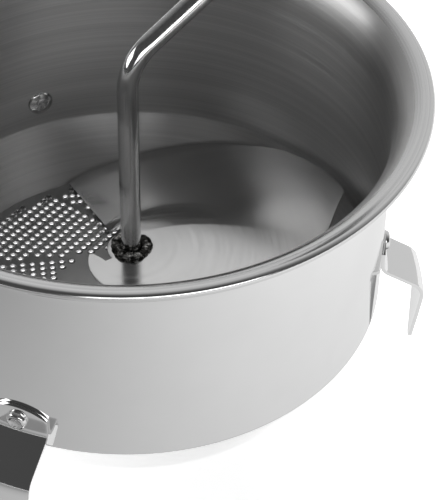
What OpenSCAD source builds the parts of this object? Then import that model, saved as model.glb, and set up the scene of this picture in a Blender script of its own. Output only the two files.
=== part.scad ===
// Rotary food mill: a stainless bowl that hangs on a pot's rim by two hooks and a long handle.
// A bent crank turns a sheet blade that presses food through the perforated bottom.
// The origin is on the bowl's axis, in the plane of the pot's rim. +Z is up, millimetres.

/* [Bowl] */
// Outside diameter of the rolled rim
rim_d = 200; // [190:1:250]
// How far the rim stands out past the wall
flare_w = 12; // [10:0.5:15]
// Height of the flare under the rim
flare_h = 14.5; // [12:0.5:20]
// Diameter of the roll on the rim's edge
bead_d = 3.2; // [2.6:0.1:4]
// Rim's top down to the bend where the wall turns inwards
wall_h = 82.7; // [80:0.1:105]
// Height of the cone between the wall and the bottom
cone_h = 23.1; // [18:0.1:30]
// How far the cone draws in, on the radius
cone_in = 13.5; // [10:0.1:18]
// Thickness of the bowl's sheet
sheet_t = 0.9; // [0.7:0.1:1.2]
// Width of the inward flange that carries the perforated bottom
flange_w = 6; // [4:0.5:8]
// Rim's top down to the plane of the pot's rim
seat_drop = 82; // [80:0.5:84]

/* [Perforated bottom] */
// Thickness of the perforated disc
disc_t = 0.9; // [0.7:0.1:1.5]
// Diameter of each small hole
hole_d = 1.9; // [1.2:0.1:2.4]
// Distance between holes along a row
hole_pitch = 3.65; // [3:0.05:5]
// Distance between rows
row_pitch = 2.75; // [2.6:0.05:4]
// Number of perforated sectors
sectors = 8; // [6:1:10]
// Distance of each sector's edge line from the centre
sector_offset = 29; // [24:1:34]
// Width of the plain strip between two sectors
strip_w = 3.4; // [2:0.1:6]
// Radius of the plain middle
blank_r = 33; // [24:1:40]
// Plain margin between the holes and the disc's edge
edge_margin = 2.2; // [1.5:0.1:5]
// Turn of the whole pattern of holes
sector_turn = 6; // [0:1:44]

/* [Blade] */
// Thickness of the blade's sheet
blade_t = 1.2; // [0.8:0.1:1.5]
// Height of the blade's raised part above the perforated disc
blade_lift = 30; // [20:0.5:36]
// Gap between the pressing edge and the disc
press_gap = 0.3; // [0.2:0.1:0.6]
// Gap between the blade's outline and the bowl
blade_gap = 2.5; // [2.2:0.1:4]
// Radius of the hub around the rod
hub_r = 9.5; // [8:0.5:12]
// Distance of the pressing edge's line from the axis
press_offset = 12.5; // [8:0.5:16]
// Direction in which that line faces
press_dir = 30; // [20:1:40]
// Where the flat part ends and the ramp begins
ramp_start = 22.5; // [15:0.5:30]
// Radius outside which the pressing edge lies on the disc
press_r = 45; // [38:1:50]
// Distance of the straight front edge from the axis
chord_offset = 64.5; // [55:0.5:70]
// Direction in which the straight front edge faces
chord_dir = -18; // [-25:1:-10]
// Distance of the back edge of the flat part from the axis
tail_offset = 18.5; // [14:0.5:24]
// Direction in which that back edge faces
tail_dir = -142; // [-150:1:-135]

/* [Crank] */
// Diameter of the crank's round bar
rod_d = 7.2; // [6:0.1:9]
// Rim's top down to the point where the rod starts to bend
bend_drop = 4; // [0:0.5:10]
// Bend radius of the rod's centre line
bend_r = 18.5; // [12:0.5:24]
// Slope of the arm above horizontal
arm_slope = 31; // [25:1:45]
// Direction of the arm seen from above
arm_dir = 30; // [0:1:359]
// Radius of the circle in which the knob travels
crank_r = 78; // [70:1:95]
// Radial clearance of the rod in the bush and of the knob on the rod
run_clear = 0.05; // [0.02:0.01:0.1]
// How far the crank can be lifted against its spring
lift_travel = 3; // [1:0.5:4]

/* [Knob] */
// Height of the knob
knob_h = 44; // [36:1:56]
// Greatest diameter of the knob
knob_d = 31; // [26:1:38]
// Diameter of the knob's neck at its lower end
knob_neck_d = 20; // [17:1:24]

/* [Underside] */
// Length of the spring between its two washers
spring_l = 16; // [12:1:24]
// Outside diameter of the spring
spring_d = 14; // [12.5:0.5:18]
// Diameter of the spring's wire
spring_wire = 1.5; // [1.2:0.1:2]
// Number of turns in the spring
spring_turns = 5; // [4:1:7]
// Diameter of the scraper's wire
wiper_wire = 2.4; // [1.8:0.1:3]
// Reach of the scraper from the axis
wiper_r = 60; // [40:1:64]
// Height of the wing nut
nut_h = 8; // [6:0.5:10]
// Width of the wing nut across its wings
nut_span = 32; // [26:1:40]

/* [Hooks] */
// Width of each hook's strip
hook_w = 20; // [16:1:26]
// Thickness of each hook's strip
hook_t = 1.3; // [1:0.1:1.8]
// Length of the flange that is riveted to the wall
flange_l = 8.5; // [7:0.5:11]
// Length of the sloping ledge that rests on the pot's rim
ledge_l = 11.2; // [9:0.2:13]
// Angle between the ledge and the wall
ledge_a = 59; // [50:1:64]
// Length of the hook's tongue below its outer bend
tongue_l = 29.5; // [22:0.5:34]
// Angle between the tongue and the vertical
tongue_a = 2.5; // [0:0.5:8]
// Rim's top down to the rivets
rivet_drop = 72; // [70:0.5:74]
// Direction of the handle seen from above
handle_dir = 123; // [0:1:359]
// Angle of each hook from the point opposite the handle
hook_spread = 57; // [45:1:65]

/* [Rivets] */
// Diameter of a rivet's shank
rivet_d = 4.8; // [4:0.1:6]
// Diameter of a rivet's head inside the bowl
rivet_head_d = 10; // [9:0.5:12]
// Height of that head
rivet_head_h = 1.5; // [1:0.1:1.6]
// Diameter of a rivet's closed end outside
rivet_tail_d = 7.2; // [6.5:0.1:9]
// Height of that closed end
rivet_tail_h = 2; // [1.5:0.1:3]

/* [Handle] */
// Thickness of the handle's bracket
bracket_t = 2; // [1.5:0.1:3]
// Width of the bracket's foot on the wall
foot_w = 46; // [42:1:60]
// Distance between the two rivets in the foot
foot_pitch = 29; // [26:1:34]
// Width of the bracket's shank
shank_w = 18; // [14:1:22]
// Slope of the handle above horizontal
handle_slope = 14; // [5:1:25]
// Length of the bare shank between the wall and the grip
shank_l = 38; // [30:1:60]
// Length of the grip
grip_l = 118; // [100:1:140]
// Width of the grip
grip_w = 27; // [24:1:32]
// Thickness of the grip
grip_h = 17; // [15:1:22]
// Diameter of the hanging hole
hang_d = 7; // [5:0.5:9]
// Thickness of the grip's end around the hanging hole
eye_h = 9; // [7:0.5:12]
// Outside diameter of that end
eye_d = 20; // [16:1:24]

/* [Hidden] */

$fn = 96;
steel = "silver";
dark_steel = "dimgray";
black = "#1c1c1e";

fit = 0.05;           // clearance between pieces that are fastened together
slack = 0.3;          // clearance between pieces that turn or slide face to face
over = 1;             // how far a cutting tool runs past what it cuts
through = 20;         // half length of a tool that cuts right through a small piece
lap = 0.4;            // how far a straight stretch of bar runs into a bend
skin = 0.02;          // how far a bend stands proud of the bars that run into it

rim_z = seat_drop;
rim_r = rim_d / 2;
wall_r = rim_r - flare_w;              // outside of the straight wall
in_r = wall_r - sheet_t;               // inside of the straight wall
crease_z = rim_z - wall_h;             // where the wall turns inwards
base_r = wall_r - cone_in;             // outside radius at the foot of the cone
base_z = crease_z - cone_h;            // underside of the bowl
disc_z = base_z + sheet_t;             // underside of the perforated disc
floor_z = disc_z + disc_t;             // top of the perforated disc
disc_play = 0.6;                       // space round the disc inside the cone
disc_r = base_r - sheet_t - disc_play;
rivet_z = rim_z - rivet_drop;

// flare: an arc that leaves the wall upright and ends under the roll
flare_x = flare_w - bead_d / 2;
flare_a = 2 * atan(flare_x / (flare_h - bead_d / 2));
flare_r = flare_x / (1 - cos(flare_a)) - sheet_t;

rod_r = rod_d / 2;
bore_r = rod_r + run_clear;
bend_z = rim_z - bend_drop;
hub_z = floor_z + blade_lift;          // top face of the blade's raised part

bush_flange_r = 9;
bush_flange_h = 1.2;
bush_r = 5.6;
bush_end_r = 7.2;
bush_end_h = 1.3;
bush_foot = 3.4;                       // bush's length below the disc

washer_t = 1.1;
washer_bore_r = rod_r + 0.1;
upper_washer_r = spring_d / 2 + 3.5;
lower_washer_r = spring_d / 2 + 2;
wiper_z = disc_z - bush_foot - slack - wiper_wire / 2;
upper_washer_z = wiper_z - wiper_wire / 2 - slack - washer_t;
spring_top = upper_washer_z - fit;
spring_bottom = spring_top - spring_l;
lower_washer_z = spring_bottom - fit - washer_t;
nut_z = lower_washer_z - fit - nut_h;
rod_tip_l = 3.5;                       // rod's length below the nut
rod_end_z = nut_z - rod_tip_l;

arm_a = 90 - arm_slope;                // angle through which the rod bends
arm_end = crank_r - 2 * bend_r * (1 - cos(arm_a));
arm_l = arm_end / sin(arm_a);
spindle_z = bend_z + 2 * bend_r * sin(arm_a) + arm_l * cos(arm_a);
knob_washer_t = 1.4;
knob_z = spindle_z + knob_washer_t + 2 * slack;
knob_top = knob_z + knob_h;
cap_z = knob_top + slack;
cap_h = 3.2;
cap_r = 7.5;
cap_brim_h = 1.2;
cap_wall = 1.6;
cap_sink = 0.8;                        // rod's end below the cap's top
spindle_l = cap_z + cap_h - cap_sink - spindle_z;

hook_dirs = [handle_dir + 180 - hook_spread, handle_dir + 180 + hook_spread];
rivet_reach = 8;                       // how far a rivet hole's tool reaches past the wall
head_gap = 0.2;                        // between a flat rivet head and the curved wall
foot_h = 20;
foot_a = 2 * asin(foot_w / 2 / wall_r);
foot_rivet_a = asin(foot_pitch / 2 / wall_r);

// ---- helpers -------------------------------------------------------------------------------

// Points along an arc about c, from direction a0 to a1
function arc(c, r, a0, a1) = [for (i = [0 : arc_steps])
    let (a = a0 + (a1 - a0) * i / arc_steps) c + r * [cos(a), sin(a)]];
arc_steps = 10;

function reversed(v) = [for (i = [len(v) - 1 : -1 : 0]) v[i]];

// A straight stretch of round bar that starts at the origin along +Z
module bar(r, l) {
    translate([0, 0, -lap]) cylinder(r = r, h = l + 2 * lap);
    translate([0, 0, l]) children();
}

// A bend in round bar in the XZ plane, towards +X for a positive angle
module bar_bend(r, bend, a) {
    s = sign(a);
    translate([s * bend, 0, 0]) {
        rotate([90, 0, 0]) rotate(s > 0 ? 180 - a : 0)
            rotate_extrude(angle = abs(a)) translate([bend, 0]) circle(r = r + skin);
        rotate([0, a, 0]) translate([-s * bend, 0, 0]) children();
    }
}

// A cylinder that lies along the radius in direction a, from radius r0 to r1 at height z
module radial(a, z, r0, r1, r) {
    rotate(a) translate([r0, 0, z]) rotate([0, 90, 0]) cylinder(r = r, h = r1 - r0);
}

module ring(z, r0, r1, h) {
    translate([0, 0, z]) difference() {
        cylinder(r = r1, h = h);
        translate([0, 0, -over]) cylinder(r = r0, h = h + 2 * over);
    }
}

// The holes for all four rivets, as cutting tools
module rivet_holes() {
    for (a = rivet_dirs) radial(a, rivet_z, in_r - rivet_reach, wall_r + rivet_reach, rivet_d / 2 + fit);
}
rivet_dirs = concat(hook_dirs, [handle_dir - foot_rivet_a, handle_dir + foot_rivet_a]);

// One set rivet: head inside the bowl, shank through the wall and a strip of thickness t
module rivet(a, t) {
    head_r = rivet_head_d / 2;
    head_x = in_r - head_gap;
    dome_r = (head_r * head_r + rivet_head_h * rivet_head_h) / (2 * rivet_head_h);
    tail_x = wall_r + fit + t + fit;
    rotate(a) translate([0, 0, rivet_z]) {
        rotate([0, 90, 0]) translate([0, 0, head_x - over])
            cylinder(r = rivet_d / 2, h = tail_x - head_x + 2 * over);
        intersection() {
            translate([head_x - rivet_head_h + dome_r, 0, 0]) sphere(r = dome_r);
            rotate([0, 90, 0]) translate([0, 0, head_x - 2 * rivet_head_h])
                cylinder(r = head_r, h = 2 * rivet_head_h);
        }
        rotate([0, 90, 0]) translate([0, 0, tail_x]) cylinder(r = rivet_tail_d / 2, h = rivet_tail_h);
    }
}

// ---- bowl ----------------------------------------------------------------------------------

// Half section of the bowl: roll, flare, wall, cone and inward flange
module bowl_profile() {
    flare_c = [wall_r + flare_r, rim_z - flare_h];
    cone_x = sheet_t / cos(atan(cone_in / cone_h));
    translate([rim_r - bead_d / 2, rim_z - bead_d / 2]) circle(r = bead_d / 2);
    polygon(concat(
        arc(flare_c, flare_r, 180, 180 - flare_a),
        reversed(arc(flare_c, flare_r + sheet_t, 180, 180 - flare_a)),
        [[in_r, crease_z], [base_r - cone_x, disc_z], [base_r - flange_w, disc_z],
            [base_r - flange_w, base_z], [base_r, base_z], [wall_r, crease_z]]));
}

module bowl() {
    color(steel) difference() {
        rotate_extrude() bowl_profile();
        rivet_holes();
    }
}

hole_sides = 24;

// One sector's holes, in rows parallel to the sector's edge line, which runs along +X
module sector_holes() {
    sector_a = 360 / sectors;
    out_r = disc_r - edge_margin - hole_d / 2;
    first = sector_offset - strip_w / 2;
    for (row = [0 : ceil(2 * out_r / row_pitch)], col = [-ceil(out_r / hole_pitch) : 0]) {
        x = col * hole_pitch - hole_pitch / 2;
        y = first - row * row_pitch;
        r = norm([x, y]);
        past_next = x * sin(-sector_a) + y * cos(-sector_a);
        if (r < out_r && r > blank_r && past_next > first + strip_w)
            translate([x, y]) circle(r = hole_d / 2, $fn = hole_sides);
    }
}

module perforated_bottom() {
    color(steel) translate([0, 0, disc_z]) linear_extrude(disc_t) difference() {
        circle(r = disc_r);
        circle(r = bush_r + fit);
        for (k = [0 : sectors - 1]) rotate(k * 360 / sectors + sector_turn) sector_holes();
    }
}

module bearing_bush() {
    color(steel) difference() {
        union() {
            translate([0, 0, floor_z + fit]) cylinder(r = bush_flange_r, h = bush_flange_h);
            translate([0, 0, disc_z - bush_foot]) cylinder(r = bush_r, h = bush_foot + disc_t + over);
            translate([0, 0, disc_z - fit - bush_end_h]) cylinder(r = bush_end_r, h = bush_end_h);
        }
        translate([0, 0, disc_z - through]) cylinder(r = bore_r, h = 2 * through);
    }
}

// ---- crank ---------------------------------------------------------------------------------

module crank_rod() {
    tip = 0.8;
    color(steel) rotate(arm_dir) translate([0, 0, rod_end_z]) {
        cylinder(r1 = rod_r - tip, r2 = rod_r, h = tip);
        translate([0, 0, tip]) bar(rod_r, bend_z - rod_end_z - tip)
            bar_bend(rod_r, bend_r, arm_a) bar(rod_r, arm_l)
            bar_bend(rod_r, bend_r, -arm_a) bar(rod_r, spindle_l);
    }
}

// Radius of the bowl's inside at height z, less the blade's gap
function inside_r(z) = in_r - blade_gap
    - (z < crease_z ? (crease_z - z) * cone_in / cone_h : 0);

// Direction of the blade's back edge at radius r: on the pressing line outside press_r
function back_dir(r) = press_dir + acos(press_offset / max(r, press_r));

// How much of the ramp's drop is reached at radius r, from none at the hub to all at press_r
function drop_share(r) = let (s = min(1, max(0, (r - hub_r) / (press_r - hub_r))))
    s * s * (3 - 2 * s);

blade_drop = blade_lift - blade_t - press_gap;

// Radius in direction a of a straight line at a distance from the axis, facing a given way
grazing = 0.01;                        // least cosine at which such a line still counts
function line_r(a, distance, facing) =
    cos(a - facing) > grazing ? distance / cos(a - facing) : rim_r;

// Outline radius of the flat part in direction a
function flat_r(a) = a < tail_dir ? tail_offset
    : min(in_r - blade_gap, line_r(a, tail_offset, tail_dir), line_r(a, chord_offset, chord_dir));

blade_first = -165;                    // direction of the slit's open side
flat_steps = 44;
ramp_steps = 26;
hub_steps = 8;
blade_steps = flat_steps + ramp_steps + hub_steps;
blade_rings = 11;
hub_ring = 1;                          // rings inside this one go all the way round the rod

function blade_u(i) = min(1, max(0, (i - flat_steps) / ramp_steps));
function blade_out(i) = i <= flat_steps
    ? flat_r(blade_first + (ramp_start - blade_first) * i / flat_steps)
    : i <= flat_steps + ramp_steps ? inside_r(hub_z - blade_t - blade_drop * blade_u(i))
    : hub_r;
function blade_ring_r(i, j) = j == 0 ? bore_r
    : let (s = (j - hub_ring) / (blade_rings - hub_ring)) hub_r + (blade_out(i) - hub_r) * s;
function blade_dir(i, r) = i <= flat_steps
    ? blade_first + (ramp_start - blade_first) * i / flat_steps
    : i <= flat_steps + ramp_steps
    ? ramp_start + (back_dir(r) - ramp_start) * blade_u(i)
    : let (a0 = back_dir(0), a1 = blade_first + 360)
      a0 + (a1 - a0) * (i - flat_steps - ramp_steps) / hub_steps;
function blade_point(i, j, down) = let (
    r = blade_ring_r(i, j),
    a = blade_dir(i, r),
    z = hub_z - blade_drop * blade_u(i) * drop_share(r))
    [r * cos(a), r * sin(a), z - down];

// Whether the sheet exists between steps i and i+1 and rings j and j+1
function blade_cell(i, j) = j >= 0 && j < blade_rings
    && (j < hub_ring || i < flat_steps + ramp_steps);

module blade() {
    n = blade_steps;
    m = blade_rings + 1;
    points = [for (down = [0, blade_t], i = [0 : n - 1], j = [0 : blade_rings])
        blade_point(i, j, down)];
    top = function (i, j) (i % n) * m + j;
    low = function (i, j) n * m + (i % n) * m + j;
    quad = function (a, b, c, d) [[a, b, c], [a, c, d]];
    faces = [for (i = [0 : n - 1], j = [0 : blade_rings - 1]) if (blade_cell(i, j)) each concat(
        quad(top(i, j), top(i + 1, j), top(i + 1, j + 1), top(i, j + 1)),
        quad(low(i, j), low(i, j + 1), low(i + 1, j + 1), low(i + 1, j)),
        blade_cell(i, j - 1) ? [] : quad(top(i + 1, j), top(i, j), low(i, j), low(i + 1, j)),
        blade_cell(i, j + 1) ? []
            : quad(top(i, j + 1), top(i + 1, j + 1), low(i + 1, j + 1), low(i, j + 1)),
        blade_cell((i + n - 1) % n, j) ? [] : quad(top(i, j), top(i, j + 1), low(i, j + 1), low(i, j)),
        blade_cell((i + 1) % n, j) ? []
            : quad(top(i + 1, j + 1), top(i + 1, j), low(i + 1, j), low(i + 1, j + 1)))];
    color(steel) polyhedron(points, faces);
}

module weld_bead() {
    bead_r = 2.1;
    color(dark_steel) translate([0, 0, hub_z + fit]) difference() {
        intersection() {
            rotate_extrude() translate([rod_r + bead_r, 0]) circle(r = bead_r);
            cylinder(r = through, h = through);
        }
        translate([0, 0, -over]) cylinder(r = bore_r, h = through);
    }
}

module crank_knob() {
    crown_r = knob_d / 2;
    waist_z = knob_h - crown_r * 0.9;  // the crown is cut off flat at the cap
    neck_h = 3;
    shoulder = [1, 4];
    color(black) on_spindle(knob_z) difference() {
        rotate_extrude() intersection() {
            union() {
                polygon([[0, 0], [knob_neck_d / 2, 0], [knob_neck_d / 2, neck_h],
                    [crown_r, waist_z] - shoulder, [crown_r, waist_z], [0, waist_z]]);
                translate([0, waist_z]) circle(r = crown_r);
            }
            square([crown_r, knob_h]);
        }
        translate([0, 0, -over]) cylinder(r = bore_r, h = knob_h + 2 * over);
    }
}

module on_spindle(z) {
    rotate(arm_dir) translate([crank_r, 0, z]) children();
}

module knob_washer() {
    color(steel) on_spindle(0) ring(spindle_z + slack, bore_r, knob_neck_d / 2 - 1, knob_washer_t);
}

module knob_cap() {
    color(steel) on_spindle(cap_z) difference() {
        union() {
            cylinder(r = cap_r, h = cap_brim_h);
            cylinder(r = rod_r + cap_wall, h = cap_h);
        }
        translate([0, 0, -over]) cylinder(r = rod_r + fit, h = cap_h + 2 * over);
    }
}

// ---- underside -----------------------------------------------------------------------------

wiper_turn = 75;                       // direction of the scraper from the crank's arm
eye_gap = 0.4;                         // between the scraper's eye and the rod
module scraper_wire() {
    r = wiper_wire / 2;
    eye_r = rod_r + eye_gap + r;
    rise_z = disc_z - slack - r;
    slope = atan((rise_z - wiper_z) / (wiper_r - eye_r));
    color(steel) rotate(arm_dir + wiper_turn) {
        translate([0, 0, wiper_z]) rotate_extrude() translate([eye_r, 0]) circle(r = r);
        for (side = [0, 180]) rotate(side) translate([eye_r, 0, wiper_z]) rotate([0, 90 - slope, 0]) {
            cylinder(r = r, h = (wiper_r - eye_r) / cos(slope));
            translate([0, 0, (wiper_r - eye_r) / cos(slope)]) sphere(r = r);
        }
    }
}

module upper_washer() {
    color(steel) ring(upper_washer_z, washer_bore_r, upper_washer_r, washer_t);
}

module lower_washer() {
    color(steel) ring(lower_washer_z, washer_bore_r, lower_washer_r, washer_t);
}

spring_sides = 8;
spring_rings = 20;                     // rings in each turn
module spring() {
    r = spring_wire / 2;
    mean_r = spring_d / 2 - r;
    total = spring_turns * spring_rings;
    climb = spring_l - spring_wire;
    points = [for (i = [0 : total], k = [0 : spring_sides - 1])
        let (a = 360 * i / spring_rings, b = 360 * k / spring_sides,
            rr = mean_r + r * cos(b))
        [rr * cos(a), rr * sin(a), spring_bottom + r + climb * i / total + r * sin(b)]];
    side = function (i, k) i * spring_sides + (k % spring_sides);
    faces = concat(
        [[for (k = [0 : spring_sides - 1]) side(0, k)]],
        [[for (k = [spring_sides - 1 : -1 : 0]) side(total, k)]],
        [for (i = [0 : total - 1], k = [0 : spring_sides - 1])
            each [[side(i, k), side(i + 1, k), side(i + 1, k + 1)],
                [side(i, k), side(i + 1, k + 1), side(i, k + 1)]]]);
    color(steel) polyhedron(points, faces);
}

module wing_nut() {
    wing_t = 2.4;
    foot_r = 6.4;
    head_r = 8;
    color(steel) translate([0, 0, nut_z]) difference() {
        union() {
            cylinder(r1 = foot_r, r2 = head_r, h = nut_h);
            for (side = [0, 180]) rotate(side)
                translate([0, wing_t / 2, 0]) rotate([90, 0, 0]) linear_extrude(wing_t) wing();
        }
        translate([0, 0, -through]) cylinder(r = rod_r + fit, h = 2 * through);
    }
}

// One wing's outline: a bar from the nut's body out to a round lobe that hangs below it
module wing() {
    lobe_r = 4.5;
    lobe_x = nut_span / 2 - lobe_r;
    lobe_z = nut_h / 2 - 5;
    root_x = 4;                        // inside the nut's body
    root_z = [0.5, nut_h - 1.5];
    polygon([[root_x, root_z[1]], [lobe_x, lobe_z + 3], [lobe_x, lobe_z - 3], [root_x, root_z[0]]]);
    translate([lobe_x, lobe_z]) circle(r = lobe_r);
}

// ---- hooks ---------------------------------------------------------------------------------

// Side view of a hook's strip: riveted flange, bend, sloping ledge, bend, tongue
bend_in = 5;
bend_out = 6.5;
flange_rise = 5.5;                     // flange's top above the rivet
hook_top = [wall_r + fit + hook_t / 2, rivet_z + flange_rise];
bend1_c = hook_top + [bend_in, -flange_l];
ledge_start = bend1_c - bend_in * [cos(ledge_a), sin(ledge_a)];
ledge_end = ledge_start + ledge_l * [sin(ledge_a), -cos(ledge_a)];
bend2_c = ledge_end - bend_out * [cos(ledge_a), sin(ledge_a)];
tongue_start = bend2_c + bend_out * [cos(tongue_a), -sin(tongue_a)];
tongue_end = tongue_start - tongue_l * [sin(tongue_a), cos(tongue_a)];

// One face of the strip, at distance o outside its centre line
function hook_face(o) = concat(
    [hook_top + [o, 0]],
    arc(bend1_c, bend_in - o, 180, 180 + ledge_a),
    arc(bend2_c, bend_out + o, ledge_a, -tongue_a),
    [tongue_end + o * [cos(tongue_a), -sin(tongue_a)]]);

module hook_profile() {
    polygon(concat(hook_face(hook_t / 2), reversed(hook_face(-hook_t / 2))));
}

// Front view of a hook: a strip with a low arched top and a tongue that tapers to a round tip
module hook_outline() {
    tip_r = 1.6;
    arch_r = 0.8 * hook_w;
    arch_a = asin(hook_w / 2 / arch_r);
    polygon(concat(
        arc([0, tongue_end[1] + tip_r], tip_r, 180, 360),
        [[hook_w / 2, tongue_start[1]]],
        arc([0, hook_top[1] - arch_r], arch_r, 90 - arch_a, 90 + arch_a),
        [[-hook_w / 2, tongue_start[1]]]));
}

module hook(a) {
    half_a = asin(hook_w / 2 / wall_r) + 2;    // a little more than the outline needs
    depth = 2 * through;
    color(steel) difference() {
        rotate(a) intersection() {
            rotate(-half_a) rotate_extrude(angle = 2 * half_a) hook_profile();
            translate([wall_r - over, 0, 0]) rotate([90, 0, 90]) linear_extrude(depth) hook_outline();
        }
        rivet_holes();
    }
}

module hook_front_left() { hook(hook_dirs[0]); }
module hook_right() { hook(hook_dirs[1]); }
module hook_rivet_front_left() { color(steel) rivet(hook_dirs[0], hook_t); }
module hook_rivet_right() { color(steel) rivet(hook_dirs[1], hook_t); }

// ---- handle --------------------------------------------------------------------------------

shank_x = wall_r + fit + bracket_t / 2;
shank_z = rivet_z + 2;

// Places its children at the shank's root, with +X along the handle
module on_handle(along) {
    rotate(handle_dir) translate([shank_x, 0, shank_z]) rotate([0, -handle_slope, 0])
        translate([along, 0, 0]) children();
}

tang_w = 12;
tang_l = 70;
lug_l = 11;                            // lug that rests on the pot's rim under the handle
grip_x = shank_l;
screw_x = grip_x + 48;
screw_r = 2;
screw_head_r = 4;
screw_head_h = 2;
screw_head_z = -5.5;                   // underside of the screw's head seat in the grip
screw_top_z = 2.4;

module handle_bracket() {
    color(steel) difference() {
        union() {
            rotate(handle_dir - foot_a / 2) rotate_extrude(angle = foot_a) {
                translate([wall_r + fit, 0]) square([bracket_t, foot_h]);
            }
            rotate(handle_dir - foot_a / 4) rotate_extrude(angle = foot_a / 2) {
                translate([wall_r + fit, 0]) square([lug_l, bracket_t]);
            }
            on_handle(0) translate([0, -shank_w / 2, -bracket_t / 2])
                cube([shank_l, shank_w, bracket_t]);
            on_handle(shank_l - over) translate([0, -tang_w / 2, -bracket_t / 2])
                cube([tang_l + over, tang_w, bracket_t]);
        }
        rivet_holes();
        on_handle(screw_x) translate([0, 0, -through]) cylinder(r = screw_r + fit, h = 2 * through);
    }
}

module handle_rivets() {
    color(steel) for (side = [-1, 1]) rivet(handle_dir + side * foot_rivet_a, bracket_t);
}

module handle_grip() {
    end_x = grip_l - eye_d / 2;
    slot = fit * 2;
    mouth = 10;                        // length cut off square at the bushing
    facets = 28;
    nose_r = 0.4 * grip_w;
    tail_r = 0.36 * grip_w;
    color(black) on_handle(grip_x + fit) difference() {
        union() {
            hull() {
                translate([3, 0, 0]) scale([0.35, 1, 0.82]) sphere(r = nose_r, $fn = facets);
                translate([grip_l * 0.45, 0, 0]) scale([2, 1, grip_h / grip_w])
                    sphere(r = grip_w / 2, $fn = facets);
                translate([end_x - 12, 0, 0]) scale([1, 1, 0.62]) sphere(r = tail_r, $fn = facets);
            }
            translate([end_x, 0, -eye_h / 2]) cylinder(r = eye_d / 2, h = eye_h);
        }
        translate([end_x, 0, -through]) cylinder(r = hang_d / 2, h = 2 * through);
        translate([-mouth, -tang_w / 2 - slot, -bracket_t / 2 - slot])
            cube([tang_l + mouth + over, tang_w + 2 * slot, bracket_t + 2 * slot]);
        translate([-mouth, -through, -through]) cube([mouth, 2 * through, 2 * through]);
        translate([screw_x - grip_x, 0, -through]) {
            cylinder(r = screw_r + fit, h = through + screw_top_z + 2 * slack);
            cylinder(r = screw_head_r + fit, h = through + screw_head_z);
        }
    }
}

module grip_screw() {
    color(steel) on_handle(screw_x + fit) {
        translate([0, 0, screw_head_z - screw_head_h]) cylinder(r = screw_head_r, h = screw_head_h);
        translate([0, 0, screw_head_z - lap]) cylinder(r = screw_r, h = screw_top_z - screw_head_z + lap);
    }
}

module grip_bushing() {
    bushing_t = 2;
    color(steel) on_handle(grip_x - bushing_t - 0.2) difference() {
        rotate([0, 90, 0]) cylinder(r = shank_w / 2 + 2, h = bushing_t);
        translate([-over, -shank_w / 2 - fit, -bracket_t / 2 - fit])
            cube([bushing_t + 2 * over, shank_w + 2 * fit, bracket_t + 2 * fit]);
    }
}

bowl();
perforated_bottom();
bearing_bush();
crank_rod();
blade();
weld_bead();
crank_knob();
knob_washer();
knob_cap();
scraper_wire();
upper_washer();
spring();
lower_washer();
wing_nut();
hook_front_left();
hook_right();
hook_rivet_front_left();
hook_rivet_right();
handle_bracket();
handle_rivets();
handle_grip();
grip_screw();
grip_bushing();
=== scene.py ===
"""A rotary food mill: the looks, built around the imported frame."""

import math

import bmesh
import bpy
from mathutils import Matrix, Vector, noise


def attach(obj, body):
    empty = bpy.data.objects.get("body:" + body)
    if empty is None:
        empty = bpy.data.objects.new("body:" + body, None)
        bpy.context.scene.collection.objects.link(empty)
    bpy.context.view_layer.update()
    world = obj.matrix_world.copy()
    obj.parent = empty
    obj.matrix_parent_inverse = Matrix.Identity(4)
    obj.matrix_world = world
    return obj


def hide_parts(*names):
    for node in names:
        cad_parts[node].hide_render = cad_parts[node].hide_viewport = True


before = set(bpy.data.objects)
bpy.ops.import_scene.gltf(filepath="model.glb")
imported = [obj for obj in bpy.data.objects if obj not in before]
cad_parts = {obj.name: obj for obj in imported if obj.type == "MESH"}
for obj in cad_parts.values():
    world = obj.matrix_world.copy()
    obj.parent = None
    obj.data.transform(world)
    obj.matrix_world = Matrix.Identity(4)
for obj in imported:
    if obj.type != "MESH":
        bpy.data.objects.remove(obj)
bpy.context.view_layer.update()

MM = 0.001
TAU = 2 * math.pi

# Sizes in millimetres, as in the CAD source
RIM_R, RIM_Z, BEAD_R = 100.0, 82.0, 1.6
WALL_R, SHEET = 88.0, 0.9
IN_R = WALL_R - SHEET
FLARE_Z = 66.0
CREASE_Z, BASE_R, BASE_Z = -0.7, 74.5, -23.8
DISC_Z, FLOOR_Z, DISC_R = -22.9, -22.0, 73.0
FLANGE_R = 68.5
CONE_IN, CONE_H = 13.5, 23.1
RIVET_Z = 10.0
HANDLE_DIR, HOOK_DIRS = 123.0, (246.0, 0.0)
ROD_R, BORE_R = 3.6, 3.65
BEND_Z, BEND_R, ARM_SLOPE, ARM_DIR, CRANK_R = 78.0, 18.5, 31.0, 30.0, 78.0
HUB_Z, HUB_R, BLADE_T = 8.0, 8.4, 1.2
BLADE_DROP, BLADE_OUT = 28.5, IN_R - 2.5


def polar(r, degrees, z=0.0):
    a = math.radians(degrees)
    return Vector((r * math.cos(a), r * math.sin(a), z))


def mix(a, b, t):
    return a + (b - a) * t


def smooth(t):
    t = min(1.0, max(0.0, t))
    return t * t * (3 - 2 * t)


# ---- materials -----------------------------------------------------------------------------


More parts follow.
